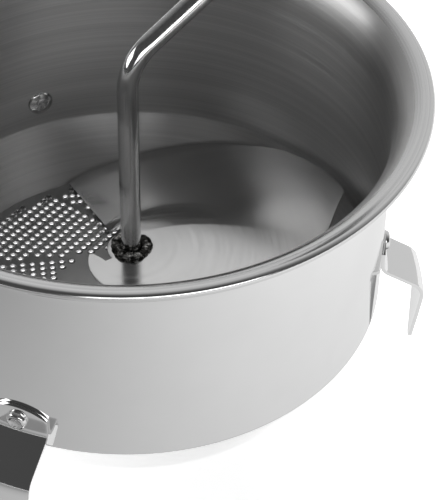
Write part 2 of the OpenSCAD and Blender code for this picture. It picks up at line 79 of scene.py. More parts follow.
class Shader:
    """A node material with one Principled shader, and short ways to add what drives it."""

    def __init__(self, name, **sockets):
        self.material = bpy.data.materials.new(name)
        self.material.use_nodes = True
        self.tree = self.material.node_tree
        self.bsdf = self.tree.nodes["Principled BSDF"]
        for key, value in sockets.items():
            self.bsdf.inputs[key.replace("_", " ")].default_value = value
        self.coords = self.node("ShaderNodeTexCoord").outputs["Object"]

    def node(self, kind, **settings):
        made = self.tree.nodes.new(kind)
        for key, value in settings.items():
            setattr(made, key, value)
        return made

    def link(self, source, target):
        self.tree.links.new(source, target)

    def math(self, operation, *values):
        made = self.node("ShaderNodeMath", operation=operation)
        for socket, value in zip(made.inputs, values):
            if isinstance(value, (int, float)):
                socket.default_value = value
            else:
                self.link(value, socket)
        return made.outputs[0]

    def stretched(self, scale, vector=None):
        made = self.node("ShaderNodeMapping")
        made.inputs["Scale"].default_value = scale
        self.link(vector or self.coords, made.inputs["Vector"])
        return made.outputs["Vector"]

    def round_the_axis(self, around, across):
        """Coordinates that change slowly round the Z axis and fast along the radius and the height."""
        parts = self.node("ShaderNodeSeparateXYZ")
        self.link(self.coords, parts.inputs[0])
        x, y, z = parts.outputs
        radius = self.math("SQRT", self.math("ADD", self.math("MULTIPLY", x, x), self.math("MULTIPLY", y, y)))
        whole = self.node("ShaderNodeCombineXYZ")
        self.link(self.math("MULTIPLY", x, around), whole.inputs[0])
        self.link(self.math("MULTIPLY", y, around), whole.inputs[1])
        self.link(self.math("MULTIPLY", self.math("ADD", radius, z), across), whole.inputs[2])
        return whole.outputs[0]

    def noise(self, scale, vector=None, detail=4.0, rough=0.6):
        made = self.node("ShaderNodeTexNoise")
        made.inputs["Scale"].default_value = scale
        made.inputs["Detail"].default_value = detail
        made.inputs["Roughness"].default_value = rough
        self.link(vector or self.coords, made.inputs["Vector"])
        return made.outputs["Fac"]

    def spread(self, source, low, high, start=0.3, end=0.7):
        made = self.node("ShaderNodeMapRange")
        made.inputs["From Min"].default_value = start
        made.inputs["From Max"].default_value = end
        made.inputs["To Min"].default_value = low
        made.inputs["To Max"].default_value = high
        self.link(source, made.inputs["Value"])
        return made.outputs[0]

    def tint(self, source, dark, light, start=0.3, end=0.7):
        ramp = self.node("ShaderNodeValToRGB")
        ramp.color_ramp.elements[0].position = start
        ramp.color_ramp.elements[0].color = (*dark, 1)
        ramp.color_ramp.elements[1].position = end
        ramp.color_ramp.elements[1].color = (*light, 1)
        self.link(source, ramp.inputs[0])
        return ramp.outputs[0]

    def drive(self, socket, source):
        self.link(source, self.bsdf.inputs[socket])
        return self

    def bump(self, source, distance, strength=1.0):
        made = self.node("ShaderNodeBump")
        made.inputs["Strength"].default_value = strength
        made.inputs["Distance"].default_value = distance * MM
        self.link(source, made.inputs["Height"])
        self.link(made.outputs[0], self.bsdf.inputs["Normal"])
        return self

    def round_grain(self):
        """The highlight is drawn out across scratches that run round the Z axis."""
        tangent = self.node("ShaderNodeTangent", direction_type="RADIAL", axis="Z")
        self.link(tangent.outputs[0], self.bsdf.inputs["Tangent"])
        return self


def grey(v, warm=0.0):
    return (v + warm, v, v - warm)


def polished(name, tone, low, high, scratch=0.0012):
    """Mirror-like steel: faint haze in patches and hair-fine rubbing marks."""
    m = Shader(name, Metallic=1.0)
    haze = m.noise(26, detail=3)
    m.drive("Base Color", m.tint(haze, grey(tone * 0.96), grey(tone)))
    m.drive("Roughness", m.spread(m.noise(60, detail=6), low, high))
    m.bump(m.noise(1, m.round_the_axis(9, 900), detail=3), scratch)
    return m


mirror = polished("mirror_steel", 0.76, 0.02, 0.05, 0.0006)

brushed = Shader("brushed_inside", Metallic=1.0, Anisotropic=0.8, Anisotropic_Rotation=0.25)
lines = brushed.noise(1, brushed.round_the_axis(3, 2600), detail=3, rough=0.7)
broad = brushed.noise(1, brushed.round_the_axis(4, 420), detail=2)
both = brushed.math("ADD", brushed.math("MULTIPLY", lines, 0.6), brushed.math("MULTIPLY", broad, 0.4))
brushed.drive("Base Color", brushed.tint(both, grey(0.5), grey(0.68, 0.004), 0.3, 0.7))
brushed.drive("Roughness", brushed.spread(lines, 0.3, 0.42))
brushed.bump(lines, 0.008, 0.5).round_grain()

rim_steel = Shader("rim_steel", Metallic=1.0)
rim_lines = rim_steel.noise(1, rim_steel.round_the_axis(3, 2200), detail=3)
rim_steel.drive("Base Color", rim_steel.tint(rim_lines, grey(0.6), grey(0.74)))
rim_steel.drive("Roughness", rim_steel.spread(rim_lines, 0.12, 0.22)).bump(rim_lines, 0.006, 0.5)

bottom = Shader("bottom_steel", Metallic=1.0, Anisotropic=0.3)
turned = bottom.noise(1, bottom.round_the_axis(14, 800), detail=5, rough=0.7)
blotch = bottom.noise(30, detail=5)
bottom.drive("Base Color", bottom.tint(blotch, grey(0.44), grey(0.56), 0.35, 0.65))
bottom.drive("Roughness", bottom.spread(turned, 0.26, 0.4)).bump(turned, 0.012, 0.5).round_grain()

lip_steel = Shader("punched_lip_steel", Metallic=1.0, Roughness=0.16)
lip_noise = lip_steel.noise(900, detail=3)
lip_steel.drive("Base Color", lip_steel.tint(lip_noise, grey(0.6), grey(0.86))).bump(lip_noise, 0.02, 0.6)

blade_steel = Shader("blade_steel", Metallic=1.0, Anisotropic=0.25)
rub = blade_steel.noise(1, blade_steel.round_the_axis(22, 520), detail=6, rough=0.7)
cloud = blade_steel.noise(22, detail=4)
pits = blade_steel.noise(700, detail=2)
blade_steel.drive("Base Color", blade_steel.tint(cloud, grey(0.7), grey(0.78, 0.003), 0.3, 0.7))
blade_steel.drive("Roughness", blade_steel.spread(rub, 0.13, 0.25))
pit_depth = blade_steel.spread(pits, 0, 1, 0.74, 0.8)
pitted = blade_steel.math("ADD", blade_steel.math("MULTIPLY", rub, 0.5), pit_depth)
blade_steel.bump(pitted, 0.012, 0.5).round_grain()

rod_steel = Shader("rod_steel", Metallic=1.0)
drawn = rod_steel.noise(1, rod_steel.stretched((900, 900, 14)), detail=4)
rod_steel.drive("Base Color", rod_steel.tint(drawn, grey(0.62), grey(0.76)))
rod_steel.drive("Roughness", rod_steel.spread(drawn, 0.08, 0.17)).bump(drawn, 0.008, 0.5)

weld = Shader("weld_bead_steel", Metallic=1.0)
scale = weld.noise(420, detail=6, rough=0.7)
weld.drive("Base Color", weld.tint(scale, (0.03, 0.029, 0.027), (0.62, 0.61, 0.59), 0.5, 0.64))
weld.drive("Roughness", weld.spread(scale, 0.3, 0.1)).bump(scale, 0.1, 0.7)

strip_steel = polished("strip_steel", 0.8, 0.06, 0.14, 0.006)
rivet_steel = polished("rivet_steel", 0.74, 0.1, 0.2, 0.006)
plain_steel = polished("plain_steel", 0.66, 0.16, 0.28, 0.006)

wire_steel = Shader("wire_steel", Metallic=1.0)
wire_noise = wire_steel.noise(500, detail=5)
wire_steel.drive("Base Color", wire_steel.tint(wire_noise, grey(0.5), grey(0.66)))
wire_steel.drive("Roughness", wire_steel.spread(wire_noise, 0.18, 0.3)).bump(wire_noise, 0.01, 0.5)

plastic = Shader("black_plastic", Specular_IOR_Level=0.45)
pores = plastic.noise(1600, detail=2)
wear = plastic.noise(55, detail=5)
plastic.drive("Base Color", plastic.tint(wear, grey(0.016), grey(0.028, 0.001), 0.35, 0.65))
plastic.drive("Roughness", plastic.spread(wear, 0.3, 0.44)).bump(pores, 0.03, 0.5)


# ---- mesh building -------------------------------------------------------------------------


def piece(name, verts, faces, shaders, body, node=None, slot=None, sharp=32, parts=None):
    """A new piece from points in millimetres. parts gives each face's place in shaders."""
    data = bpy.data.meshes.new(name)
    data.from_pydata([Vector(v) * MM for v in verts], [], faces)
    for shader in shaders if isinstance(shaders, list) else [shaders]:
        data.materials.append(shader.material)
    if parts:
        data.polygons.foreach_set("material_index", parts)
    shell = bmesh.new()
    shell.from_mesh(data)
    bmesh.ops.remove_doubles(shell, verts=shell.verts, dist=1e-7)
    bmesh.ops.recalc_face_normals(shell, faces=shell.faces)
    shell.to_mesh(data)
    shell.free()
    data.polygons.foreach_set("use_smooth", [True] * len(data.polygons))
    data.set_sharp_from_angle(angle=math.radians(sharp))
    made = bpy.data.objects.new(name, data)
    bpy.context.scene.collection.objects.link(made)
    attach(made, body)
    if node:
        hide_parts(*(node if isinstance(node, list) else [node]))
    return made


def bevel(made, width, segments=3, angle=35):
    edge = made.modifiers.new("edges", "BEVEL")
    edge.width, edge.segments = width * MM, segments
    edge.limit_method, edge.angle_limit = "ANGLE", math.radians(angle)
    edge.harden_normals = False
    return made


def bezier(a, b, c, d, steps):
    out = []
    for i in range(steps + 1):
        t = i / steps
        k = ((1 - t) ** 3, 3 * t * (1 - t) ** 2, 3 * t * t * (1 - t), t**3)
        out.append(tuple(sum(w * p[j] for w, p in zip(k, (a, b, c, d))) for j in (0, 1)))
    return out


def arc(centre, r, start, end, steps):
    angles = [math.radians(mix(start, end, i / steps)) for i in range(steps + 1)]
    return [(centre[0] + r * math.cos(a), centre[1] + r * math.sin(a)) for a in angles]


def rounded(corners, steps=4, closed=False):
    """A line through corners (x, z, radius), each corner eased by about its radius."""
    out, n = [], len(corners)
    for i, (x, z, r) in enumerate(corners):
        here = Vector((x, z))
        if r == 0 or (not closed and i in (0, n - 1)):
            out.append((x, z))
            continue
        back = Vector(corners[i - 1][:2]) - here
        ahead = Vector(corners[(i + 1) % n][:2]) - here
        half = back.angle(ahead) / 2
        reach = min(r / math.tan(half), back.length * 0.48, ahead.length * 0.48)
        p, q = here + back.normalized() * reach, here + ahead.normalized() * reach
        for k in range(steps + 1):
            t = k / steps
            out.append(tuple(p * (1 - t) ** 2 + here * 2 * t * (1 - t) + q * t * t))
    return out


def lathe(profile, segments, closed=True):
    n = len(profile)
    verts = [polar(r, 360 * i / segments, z) for i in range(segments) for r, z in profile]
    faces = [
        (i * n + k, i * n + (k + 1) % n, (i + 1) % segments * n + (k + 1) % n, (i + 1) % segments * n + k)
        for i in range(segments)
        for k in range(n if closed else n - 1)
    ]
    return verts, faces


def placed(verts, matrix):
    return [matrix @ Vector(v) for v in verts]


def tube(path, r, sides=24, capped=True):
    """A round bar along points, carried without twist, with eased ends."""
    path = [Vector(p) for p in path]
    verts, faces, radii = [], [], [r] * len(path)
    if capped:
        first, last = (path[1] - path[0]).normalized(), (path[-1] - path[-2]).normalized()
        ease = min(0.5, r * 0.3)
        path = [path[0], path[0] + first * ease, *path[1:-1], path[-1] - last * ease, path[-1]]
        radii = [r - ease, *([r] * (len(path) - 2)), r - ease]
    normal = (path[1] - path[0]).orthogonal().normalized()
    for i, p in enumerate(path):
        ahead = path[min(i + 1, len(path) - 1)] - path[max(i - 1, 0)]
        ahead.normalize()
        normal = (normal - ahead * normal.dot(ahead)).normalized()
        side = ahead.cross(normal)
        for k in range(sides):
            a = TAU * k / sides
            verts.append(p + (normal * math.cos(a) + side * math.sin(a)) * radii[i])
    for i in range(len(path) - 1):
        for k in range(sides):
            a, b = i * sides + k, i * sides + (k + 1) % sides
            faces.append((a, b, b + sides, a + sides))
    if capped:
        faces += [tuple(range(sides)), tuple(range(len(verts) - sides, len(verts)))]
    return verts, faces


def joined(*parts):
    """Several (points, faces) as one."""
    verts, faces = [], []
    for more, shape in parts:
        faces += [tuple(k + len(verts) for k in f) for f in shape]
        verts += more
    return verts, faces


# ---- bowl ----------------------------------------------------------------------------------

cone_x = SHEET / math.cos(math.atan(CONE_IN / CONE_H))
inner = rounded(
    [(FLANGE_R, BASE_Z + SHEET, 0), (BASE_R - cone_x, DISC_Z, 0.9), (IN_R, CREASE_Z, 2.6)]
    + [(IN_R, z, 0) for z in (3, 6, 20, 40, 55, FLARE_Z - 0.8)], 6
)
flare_in = bezier((IN_R, FLARE_Z), (IN_R, 73.5), (91.6, RIM_Z), (RIM_R - BEAD_R, RIM_Z), 22)
bead = arc((RIM_R - BEAD_R, RIM_Z - BEAD_R), BEAD_R, 90, -150, 22)[1:]
flare_out = bezier((RIM_R - 3.0, 80.3), (92.6, 80.6), (WALL_R, 73.2), (WALL_R, FLARE_Z), 20)
outer = rounded(
    [(WALL_R, z, 0) for z in (FLARE_Z - 0.8, 55, 40, 20, 4, 2)]
    + [(WALL_R, CREASE_Z, 2.4), (BASE_R, BASE_Z, 1.6), (FLANGE_R, BASE_Z, 0.3), (FLANGE_R, DISC_Z, 0)],
    6,
)[:-1]
profile = inner + flare_in + bead + flare_out + outer
turns = 320
inside_end = len(inner) + len(flare_in) - 7
rim_end = len(inner) + len(flare_in) + len(bead)
finish = [0 if k < inside_end else 1 if k < rim_end else 2 for k in range(len(profile))]
verts, faces = lathe(profile, turns)
shell_looks = [brushed, rim_steel, mirror]
piece("bowl_shell", verts, faces, shell_looks, "bowl", "bowl", "bowl_steel", 40, finish * turns)


# The lips that the punch raises round each hole of the bottom
HOLE_R, PITCH, ROW = 0.95, 3.65, 2.75
SECTORS, OFFSET, STRIP, BLANK_R, MARGIN, TURN = 8, 29.0, 3.4, 33.0, 2.2, 6.0


def hole_centres():
    reach, first, step = DISC_R - MARGIN - HOLE_R, OFFSET - STRIP / 2, math.radians(360 / SECTORS)
    for k in range(SECTORS):
        for row in range(math.ceil(2 * reach / ROW) + 1):
            for col in range(-math.ceil(reach / PITCH), 1):
                x, y = col * PITCH - PITCH / 2, first - row * ROW
                past = -x * math.sin(step) + y * math.cos(step)
                if BLANK_R < math.hypot(x, y) < reach and past > first + STRIP:
                    yield Matrix.Rotation(k * step + math.radians(TURN), 2) @ Vector((x, y))


# A raised lip's profile, as distance out from the hole's edge and height
LIP = ((-0.03, -0.25), (-0.02, 0.28), (0.1, 0.42), (0.3, 0.26), (0.6, 0.01))
LIP_TILT, LIP_LEAN = 0.1, 0.16
lip = [(HOLE_R + out, height) for out, height in LIP]
verts, faces = [], []
for hole, at in enumerate(hole_centres()):
    ring_verts, ring_faces = lathe(lip, 12, closed=False)
    tilt = noise.noise((hole * 0.37, 1.3, 0)) * LIP_TILT
    base = len(verts)
    for v in ring_verts:
        height = v[2] * (1 + tilt + LIP_LEAN * v[0])
        verts.append(Vector((at.x, at.y, FLOOR_Z)) + Vector((v[0], v[1], height)))
    faces += [tuple(k + base for k in f) for f in ring_faces]
piece("bottom_punched_lips", verts, faces, lip_steel, "bowl", slot="bottom_steel", sharp=60)


# ---- blade ---------------------------------------------------------------------------------

# Directions are in degrees about the bar, and an offset is a straight edge's distance from it
BLADE_FIRST, NOTCH_DIR = -168.0, -141.0
TAIL_DIR, TAIL_OFFSET = -142.0, 17.5
CHORD_DIR, CHORD_OFFSET, CHORD_REACH = -18.0, 64.5, 30
PRESS_DIR, PRESS_OFFSET, PRESS_R = 30.0, 12.5, 45.0
FULL_LAST, FULL_SPAN, FULL_BY = -90, 18, 0.9
LOBE_START, LOBE_END, LOBE_LAST = 15.0, 22.0, -108.0
NOTCH_START, NOTCH_END = 13.8, 11.2
RAMP_DIR, RAMP_HUB, RAMP_TURN, RAMP_EASE = 22.5, 57.0, 27.0, 5
DROP_START, FIRST_GUESS_R, NO_EDGE = 9.5, 70, 1e3


def between(table, at):
    """Looks a value up in pairs, in a straight line between them."""
    if at <= table[0][0]:
        return table[0][1]
    for (a, u), (b, v) in zip(table, table[1:]):
        if at <= b:
            return mix(u, v, (at - a) / (b - a))
    return table[-1][1]


def lobe_r(a):
    """The lobe's outline, an even spiral that opens towards the tail."""
    return mix(LOBE_START, LOBE_END, (a - BLADE_FIRST) / (LOBE_LAST - BLADE_FIRST))


def notch_r(a):
    """Where the sheet starts beside the slit, curving in to the hub's notch."""
    return mix(NOTCH_END, NOTCH_START, ((NOTCH_DIR - a) / (NOTCH_DIR - BLADE_FIRST)) ** 2)


def ramp_dir(r):
    """Direction in which the ramp begins at radius r, a logarithmic spiral from the hub."""
    return RAMP_HUB - RAMP_TURN * math.log(max(r, HUB_R) / HUB_R)


def line_r(a, distance, facing):
    """Radius in direction a of a straight edge at a distance from the bar, facing a given way."""
    c = math.cos(math.radians(a - facing))
    return distance / c if c > 0.01 else NO_EDGE


def flat_out(a):
    """The flat part's outer radius: the lobe, then the tail's straight edge, slightly full at first."""
    tail = line_r(a, TAIL_OFFSET, TAIL_DIR) + FULL_BY * max(0, (FULL_LAST - a) / FULL_SPAN)
    return min(BLADE_OUT, line_r(a, CHORD_OFFSET, CHORD_DIR), lobe_r(a) if a < LOBE_LAST else tail)


def flat_start(a):
    return notch_r(a) if a < NOTCH_DIR else HUB_R


def back_dir(r):
    """Direction of the pressing edge at radius r."""
    return PRESS_DIR + math.degrees(math.acos(PRESS_OFFSET / max(r, PRESS_R)))


def ramp_drop(r, a):
    """Share of the whole drop in direction a: eased in round the middle of the first bend, then even."""
    start, end = ramp_dir(r), back_dir(r)
    middle = max(RAMP_DIR, start + RAMP_EASE)
    ease_end = 2 * middle - start
    rate = 1 / (end - middle)
    if a < ease_end:
        return rate * max(0.0, a - start) ** 2 / (2 * (ease_end - start))
    return rate * (a - middle)


def ramp_out(u):
    """The ramp's outer radius where it has come down by share u, inside the bowl's cone."""
    z = HUB_Z - BLADE_T - BLADE_DROP * u
    return BLADE_OUT - max(0.0, CREASE_Z - z) * CONE_IN / CONE_H


FLAT_STEPS, RAMP_STEPS, SLIT_STEPS, RINGS = 150, 90, 26, 44


def blade_columns():
    """Each column's kind and its share of the way through that kind."""
    for i in range(FLAT_STEPS + 1):
        yield "flat", i / FLAT_STEPS
    for i in range(1, RAMP_STEPS + 1):
        yield "ramp", i / RAMP_STEPS


def blade_point(kind, share, s):
    if kind == "flat":
        # the flat part ends where the ramp begins, which depends on the radius
        a = mix(BLADE_FIRST, ramp_dir(mix(HUB_R, FIRST_GUESS_R, s)), share)
        for _ in range(3):
            r = mix(flat_start(a), flat_out(a), s)
            a = mix(BLADE_FIRST, ramp_dir(r), share)
        return polar(mix(flat_start(a), flat_out(a), s), a, HUB_Z)
    out = BLADE_OUT
    for _ in range(4):
        r = mix(HUB_R, out, s)
        a = mix(ramp_dir(r), back_dir(r), share)
        edge = mix(ramp_dir(out), back_dir(out), share)
        chord = line_r(edge, CHORD_OFFSET, CHORD_DIR) if edge < RAMP_DIR + CHORD_REACH else NO_EDGE
        out = min(ramp_out(ramp_drop(out, edge)), chord)
    fall = ramp_drop(r, a) * smooth((r - DROP_START) / (PRESS_R - DROP_START))
    return polar(r, a, HUB_Z - BLADE_DROP * fall)


columns = list(blade_columns())
verts = [blade_point(kind, share, j / RINGS) for kind, share in columns for j in range(RINGS + 1)]
width = RINGS + 1
faces = [
    (i * width + j, (i + 1) * width + j, (i + 1) * width + j + 1, i * width + j + 1)
    for i in range(len(columns) - 1)
    for j in range(RINGS)
]
hub_rim = verts[::width]
notch_first = next(i for i, v in enumerate(hub_rim) if abs(v.xy.length - HUB_R) < 0.01)
ring_dirs = [math.degrees(math.atan2(v.y, v.x)) for v in hub_rim[notch_first:]]
last = ring_dirs[-1]
gap_dirs = [mix(last, ring_dirs[0] + 360, k / SLIT_STEPS) for k in range(1, SLIT_STEPS)]
ring_outer = [*range(notch_first * width, len(columns) * width, width)]
for a in gap_dirs:
    ring_outer.append(len(verts))
    verts.append(polar(HUB_R, a, HUB_Z))
ring_inner = []
for v in [verts[k].copy() for k in ring_outer]:
    ring_inner.append(len(verts))
    verts.append(Vector((v.x, v.y, 0)).normalized() * BORE_R + Vector((0, 0, HUB_Z)))
for k, outer_here in enumerate(ring_outer):
    after = (k + 1) % len(ring_outer)
    faces.append((ring_inner[k], ring_inner[after], ring_outer[after], outer_here))
blade = piece("blade_sheet", verts, faces, blade_steel, "crank", "blade", "blade_steel", 60)
if sum(p.normal.z for p in blade.data.polygons) < 0:
    blade.data.flip_normals()
thick = blade.modifiers.new("thickness", "SOLIDIFY")
thick.thickness, thick.offset = BLADE_T * MM, -1
bevel(blade, 0.22, 2, 50)


# ---- crank ---------------------------------------------------------------------------------


def crank_path():
    """The bar's centre line in the plane of the arm: straight, bend, arm, bend, spindle."""
    turn = 90 - ARM_SLOPE
    arm_h = CRANK_R - 2 * BEND_R * (1 - math.cos(math.radians(turn)))
    arm_l = arm_h / math.sin(math.radians(turn))
    points = [(0, mix(-59.1, BEND_Z, k / 30)) for k in range(30)]
    points += arc((BEND_R, BEND_Z), BEND_R, 180, 180 - turn, 24)
    x, z = points[-1]
    along = Vector((math.sin(math.radians(turn)), math.cos(math.radians(turn))))
    points += [(x + along.x * arm_l * k / 12, z + along.y * arm_l * k / 12) for k in range(1, 12)]
    x, z = x + along.x * arm_l, z + along.y * arm_l
    spindle_z = z + BEND_R * math.sin(math.radians(turn))
    points += arc((CRANK_R - BEND_R, spindle_z), BEND_R, -turn, 0, 24)
    points += [(CRANK_R, mix(spindle_z, 194.4, k / 6)) for k in range(1, 7)]
    return [polar(x, ARM_DIR, z) for x, z in points]


verts, faces = tube(crank_path(), ROD_R, 40)
piece("crank_bar", verts, faces, rod_steel, "crank", "crank_rod", "rod_steel")

# weld bead: a lumpy ring with overlapping ripples
verts, faces = [], []
around, section = 150, 18
for i in range(around):
    a = 360 * i / around
    ripple = 0.1 * math.sin(math.radians(a * 17)) + 0.5 * noise.noise(polar(1.6, a, 3))
    fat = 2.1 + ripple + 0.3 * math.sin(math.radians(a * 3 + 40))
    for k in range(section):
        b = TAU * k / section
        lump = 1 + 0.1 * noise.noise(polar(2.4, a, math.sin(b)) + Vector((5, 2, k * 0.1)))
        r = ROD_R + 1.7 + fat * lump * math.cos(b)
        verts.append(polar(max(ROD_R - 0.1, r), a, HUB_Z + 0.05 + max(-0.15, fat * lump * math.sin(b) * 0.8)))
        j, n = (i + 1) % around, (k + 1) % section
        faces.append((i * section + k, i * section + n, j * section + n, j * section + k))
piece("weld_ring", verts, faces, weld, "crank", "weld_bead", "weld", 75)

# knob: a turned and moulded grip with a fine parting line round its crown
KNOB_Z, KNOB_H, KNOB_R, NECK_R = 147.8, 44.0, 15.5, 10.0
knob_profile = rounded(
    [
        (BORE_R, 0, 0.2), (NECK_R - 0.2, 0, 0.8), (NECK_R, 3.2, 2.0), (11.2, 13, 12), (13.6, 22, 18),
        (KNOB_R, 30.4, 5.5), (KNOB_R - 1.6, 38.4, 5), (9.2, KNOB_H - 0.25, 2.4), (8.0, KNOB_H, 0.4),
        (BORE_R, KNOB_H, 0.2),
    ],
    6,
    closed=True,
)
knob_at = Matrix.Translation(polar(CRANK_R, ARM_DIR, KNOB_Z))
verts, faces = lathe(knob_profile, 96)
piece("knob_grip", placed(verts, knob_at), faces, plastic, "knob", "crank_knob", "black_plastic", 45)

# ---- underside -----------------------------------------------------------------------------

SPRING_TOP, SPRING_L, SPRING_R, WIRE_R, COILS, COIL_STEPS = -30.45, 16.0, 6.25, 0.75, 5, 28
END_SHARE, EASED_SHARE = 0.08, 0.4     # of the length that lies flat at each end, and of eased rise
path = []
for i in range(COILS * COIL_STEPS + 1):
    t = i / (COILS * COIL_STEPS)
    way = min(1, max(0, (t - END_SHARE) / (1 - 2 * END_SHARE)))
    rise = smooth(way) * EASED_SHARE + way * (1 - EASED_SHARE)
    z = mix(SPRING_TOP - SPRING_L + WIRE_R, SPRING_TOP - WIRE_R, rise)
    path.append(polar(SPRING_R, 360 * COILS * t, z))
verts, faces = tube(path, WIRE_R, 12)
piece("spring_coil", verts, faces, wire_steel, "scraper", "spring", "wire_steel")

WIPER_Z, WIPER_R, WIPER_WIRE, WIPER_DIR = -27.8, 60.0, 1.2, 105.0
eye_r = ROD_R + 0.4 + WIPER_WIRE
rise_z = DISC_Z - 0.3 - WIPER_WIRE
eye = tube([polar(eye_r, a, WIPER_Z) for a in range(0, 361, 8)], WIPER_WIRE, 16, capped=False)
arms = []
for side in (0, 180):
    root, end = polar(eye_r, WIPER_DIR + side, WIPER_Z), polar(WIPER_R, WIPER_DIR + side, rise_z)
    arms.append(tube([mix(root, end, k / 8) for k in range(9)], WIPER_WIRE, 16))
verts, faces = joined(eye, *arms)
piece("scraper_rod", verts, faces, wire_steel, "scraper", "scraper_wire", "wire_steel")

# ---- hooks and rivets ----------------------------------------------------------------------

HOOK_T, HOOK_W, FLANGE_L, LEDGE_L, LEDGE_A, TONGUE_L, TONGUE_A = 1.29, 20.0, 8.5, 11.2, 59.0, 29.5, 2.5
BEND_IN, BEND_OUT = 5.0, 6.5


def hook_line():
    """Points down the middle of the strip, as (radius, height), from the flange's top to the tip."""
    top = (WALL_R + 0.05 + HOOK_T / 2, RIVET_Z + 5.5)
    first = (top[0] + BEND_IN, top[1] - FLANGE_L)
    line = [(top[0], mix(top[1], first[1], k / 8)) for k in range(8)]
    line += arc(first, BEND_IN, 180, 180 + LEDGE_A, 14)
    la, ta = math.radians(LEDGE_A), math.radians(TONGUE_A)
    x, z = line[-1]
    line += [(x + LEDGE_L * math.sin(la) * k / 8, z - LEDGE_L * math.cos(la) * k / 8) for k in range(1, 9)]
    x, z = line[-1]
    second = (x - BEND_OUT * math.cos(la), z - BEND_OUT * math.sin(la))
    line += arc(second, BEND_OUT, LEDGE_A, -TONGUE_A, 18)[1:]
    x, z = line[-1]
    start_z = z
    inward, down = TONGUE_L * math.sin(ta), TONGUE_L * math.cos(ta)
    line += [(x - inward * k / 24, z - down * k / 24) for k in range(1, 25)]
    return line, start_z


def hook(name, direction, node):
    line, tongue_z = hook_line()
    tip_z, tip_r, arch_r = line[-1][1], 1.6, 16.0
    half = HOOK_W / 2
    cols = 20
    verts = []
    for r, z in line:
        if z > tongue_z:
            w = half
        else:
            w = mix(half, tip_r, (tongue_z - z) / (tongue_z - tip_z - tip_r))
            if z < tip_z + tip_r:
                w = math.sqrt(max(0.02, tip_r**2 - (tip_z + tip_r - z) ** 2))
        for c in range(cols + 1):
            y = mix(-w, w, c / cols)
            high = z
            flange_end = line[8][1]
            if z > flange_end:
                drop = arch_r - math.sqrt(arch_r**2 - y * y)
                high = z - drop * (z - flange_end) / (line[0][1] - flange_end)
            verts.append(polar(r, direction + math.degrees(math.asin(y / r)), high))
    wide = cols + 1
    faces = [
        (i * wide + c, i * wide + c + 1, (i + 1) * wide + c + 1, (i + 1) * wide + c)
        for i in range(len(line) - 1)
        for c in range(cols)
    ]
    made = piece(name, verts, faces, strip_steel, "bowl", node, "strip_steel", 50)
    solid = made.modifiers.new("thickness", "SOLIDIFY")
    solid.thickness, solid.offset = HOOK_T * MM, 0
    return bevel(made, 0.28, 3, 45)


hook("hook_front_left_strip", HOOK_DIRS[0], "hook_front_left")
hook("hook_right_strip", HOOK_DIRS[1], "hook_right")


def rivet(direction, strip):
    """Domed head inside the wall and, outside, a peened end with a ring round its dimple."""
    head = rounded([(0, 1.75, 0), (2.6, 1.5, 3), (4.4, 0.75, 1.2), (5.0, 0.22, 0.3), (4.9, -0.1, 0)], 5)
    tail = rounded(
        [(3.5, -0.1, 0), (3.6, 0.5, 0.3), (3.2, 1.5, 0.7), (2.5, 1.98, 0.4), (1.7, 1.55, 0.4), (0, 1.4, 0)], 5
    )
    inward = Matrix.Rotation(math.radians(direction), 4, "Z") @ Matrix.Translation((IN_R - 0.1, 0, RIVET_Z))
    inward = inward @ Matrix.Rotation(-math.pi / 2, 4, "Y")
    outward = Matrix.Rotation(math.radians(direction), 4, "Z") @ Matrix.Translation(
        (WALL_R + 0.1 + strip, 0, RIVET_Z)
    )
    outward = outward @ Matrix.Rotation(math.pi / 2, 4, "Y")
    parts = []
    for shape, at in ((head, inward), (tail, outward)):
        verts, faces = lathe(shape, 48, closed=False)
        parts.append((placed(verts, at), faces))
    return joined(*parts)


for name, direction in zip(("front_left", "right"), HOOK_DIRS):
    verts, faces = rivet(direction, HOOK_T)
    piece("rivet_" + name, verts, faces, rivet_steel, "bowl", "hook_rivet_" + name, "rivet_steel", 40)
FOOT_OFFSET, FOOT_T = 14.5, 2.0
foot_a = math.degrees(math.asin(FOOT_OFFSET / WALL_R))
verts, faces = joined(rivet(HANDLE_DIR - foot_a, FOOT_T), rivet(HANDLE_DIR + foot_a, FOOT_T))
piece("rivet_pair_handle", verts, faces, rivet_steel, "bowl", "handle_rivets", "rivet_steel", 40)

# ---- handle --------------------------------------------------------------------------------

SHANK_X, SHANK_Z, HANDLE_SLOPE, GRIP_X, GRIP_L = WALL_R + 1.05, RIVET_Z + 2, 14.0, 38.05, 118.0
along_handle = (
    Matrix.Rotation(math.radians(HANDLE_DIR), 4, "Z")
    @ Matrix.Translation((SHANK_X, 0, SHANK_Z))
    @ Matrix.Rotation(-math.radians(HANDLE_SLOPE), 4, "Y")
    @ Matrix.Translation((GRIP_X, 0, 0))
)
# Half the grip's width and half its height, each with the distance along it
WIDTHS = [
    (0, 9.6), (4, 10.4), (16, 11.4), (36, 12.8), (53, 13.4),
    (72, 12.6), (90, 10.6), (103, 9.9), (118, 9.9),
]
HEIGHTS = [
    (0, 8.0), (4, 8.3), (20, 8.4), (53, 8.45), (72, 8.0),
    (88, 6.6), (100, 5.0), (108, 4.5), (118, 4.45),
]
EYE_X, EYE_R, HOLE = GRIP_L - 10.0, 9.9, 3.5


def squared(part, power):
    """A sine or cosine drawn out towards the corners of a superellipse."""
    return math.copysign(abs(part) ** (2 / power), part)


